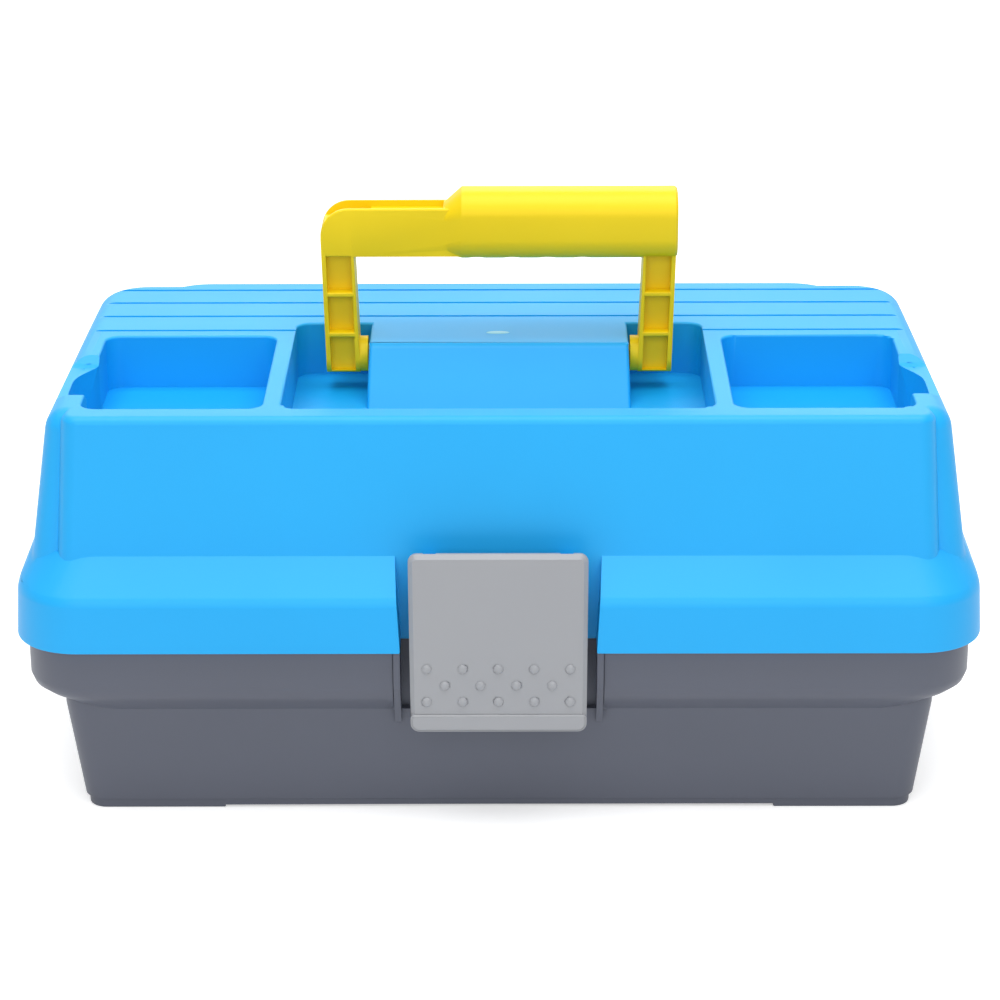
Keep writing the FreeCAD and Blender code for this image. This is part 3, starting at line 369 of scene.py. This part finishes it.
def shape_handle(piece):
    """Handle: the mould's soft edges around the front and back faces of its frame."""
    take_up(piece)
    bpy.ops.object.mode_set(mode="EDIT")
    bpy.ops.mesh.select_all(action="SELECT")
    bpy.ops.mesh.quads_convert_to_tris(quad_method="BEAUTY", ngon_method="BEAUTY")
    bpy.ops.object.mode_set(mode="OBJECT")
    soften(piece, handle_edge, lambda a, b: min(a.z, b.z) > roof - handle_pivot_drop
           and all(abs(abs(end.y - handle_depth) - handle_half) < close for end in (a, b)))


shapers = {"lid_shell": shape_lid, "base_tub": shape_tub, "latch": shape_latch, "handle": shape_handle}

for body, members in frame["record"]["behaviour"]["bodies"].items():
    for node in members:
        piece = copy_of(node, node + "_moulding")
        if node in shapers:
            shapers[node](piece)
        # The handle is long thin triangles, which even normals would streak
        finish_piece(piece, body, node, flat=node != "handle")

# Gate mark: the low scar on top of the centre block where the lid's sprue broke off
gate_place, gate_length, gate_width, gate_rise = (-0.4, 14.8), 8.4, 3.0, 0.35
deselect()
bpy.ops.mesh.primitive_uv_sphere_add(segments=32, ring_count=12, radius=1.0, location=(
    gate_place[0] * MM, gate_place[1] * MM, roof_level(gate_place[1]) * MM))
gate = bpy.context.active_object
gate.name = "gate_mark"
gate.scale = (gate_length / 2 * MM, gate_width / 2 * MM, gate_rise * MM)
bpy.ops.object.transform_apply(location=True, rotation=True, scale=True)
bpy.ops.object.shade_smooth()
# The gate mark's pale blue is a painted highlight, not the plastic's own colour.
gate.data.materials.append(gate_highlight_pp)
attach(gate, "lid")


# Floor, lights and camera

# The paper's own white for the camera: little beside the object, to keep its shadow, and more where the lamps
# fade. Strengths, and the distances in metres from the middle at which they hold.
glow_near, glow_far, glow_start, glow_end = 0.45, 0.75, 0.5, 1.8
# The world's strength as light on the object, and as the background that is seen
sky_fill, sky_seen = 0.40, 1.0


def seen_rays(tree):
    """One for camera, glossy and transmission rays, which see the background, and nought for the rest."""
    rays = add(tree, "ShaderNodeLightPath").outputs
    seen = add(tree, "ShaderNodeMath", {"operation": "MAXIMUM"},
               {0: rays["Is Camera Ray"], 1: rays["Is Glossy Ray"]})
    seen = add(tree, "ShaderNodeMath", {"operation": "MAXIMUM"},
               {0: seen.outputs[0], 1: rays["Is Transmission Ray"]})
    return seen.outputs[0]


def white_for_the_camera(tree, lit):
    """Adds white to what the camera, glossy and transmission rays see, over a lit shader."""
    away = add(tree, "ShaderNodeVectorMath", {"operation": "LENGTH"},
               {0: add(tree, "ShaderNodeTexCoord").outputs["Object"]})
    white = add(tree, "ShaderNodeMapRange",
                {"From Min": glow_start, "From Max": glow_end, "To Min": glow_near, "To Max": glow_far},
                {"Value": away.outputs["Value"]})
    strength = add(tree, "ShaderNodeMath", {"operation": "MULTIPLY"},
                   {0: seen_rays(tree), 1: white.outputs["Result"]})
    glow = add(tree, "ShaderNodeEmission", {"Color": (1, 1, 1, 1)}, {"Strength": strength.outputs[0]})
    both = add(tree, "ShaderNodeAddShader", {}, {0: lit.outputs[0], 1: glow.outputs[0]})
    tree.links.new(both.outputs[0], tree.nodes["Material Output"].inputs["Surface"])


floor_size = 6.0
deselect()
bpy.ops.mesh.primitive_plane_add(size=floor_size, location=(0, 0, 0))
floor = bpy.context.active_object
floor.name = "studio_floor"
floor_paper = bpy.data.materials.new("white_background_paper")
floor_paper.use_nodes = True
paper_tree = floor_paper.node_tree
paper = paper_tree.nodes["Principled BSDF"]
paper.inputs["Base Color"].default_value = linear("F4F4F4")
paper.inputs["Roughness"].default_value = 0.9
white_for_the_camera(paper_tree, paper)
floor.data.materials.append(floor_paper)

world = bpy.data.worlds.new("studio_white")
bpy.context.scene.world = world
world.use_nodes = True
world_tree = world.node_tree
sky = world_tree.nodes["Background"]
sky.inputs["Color"].default_value = (1, 1, 1, 1)
sky_level = add(world_tree, "ShaderNodeMapRange", {"To Min": sky_fill, "To Max": sky_seen},
                {"Value": seen_rays(world_tree)})
world_tree.links.new(sky_level.outputs["Result"], sky.inputs["Strength"])


def softbox(name, place, target, size, power):
    """A large soft lamp that faces a point of the object. Metres and watts."""
    lamp = bpy.data.lights.new(name, "AREA")
    lamp.shape = "RECTANGLE"
    lamp.size, lamp.size_y = size
    lamp.energy = power
    holder = bpy.data.objects.new(name, lamp)
    holder.location = place
    holder.rotation_euler = (Vector(target) - Vector(place)).to_track_quat("-Z", "Y").to_euler()
    bpy.context.scene.collection.objects.link(holder)


softbox("overhead_softbox", (0, -0.15, 1.5), (0, 0, 0.08), (1.6, 1.2), 21)
softbox("front_softbox", (0, -1.6, 0.9), (0, 0, 0.08), (1.8, 1.0), 11)
softbox("back_softbox", (0, 1.7, 1.0), (0, 0, 0.12), (2.0, 0.8), 8)

# The camera stands where the photograph's perspective puts it, with its focal length on a 36 mm frame
camera_data = bpy.data.cameras.new("studio_camera")
camera = bpy.data.objects.new("studio_camera", camera_data)
camera_data.sensor_width = 36.0
camera_data.lens = 114.1
elevation = math.radians(21.0)
turned = math.radians(0.3)
tilted = math.radians(-0.2)
distance = 1.15
aim = Vector((0.00022, 0.0, 0.08432))
flat = math.cos(elevation)
away = Vector((flat * math.sin(turned), -flat * math.cos(turned), math.sin(elevation)))
camera.location = aim + away * distance
facing = (aim - camera.location).to_track_quat("-Z", "Y") @ Quaternion((0, 0, 1), tilted)
camera.rotation_euler = facing.to_euler()
bpy.context.scene.collection.objects.link(camera)
bpy.context.scene.camera = camera
bpy.context.scene.view_settings.view_transform = "Standard"
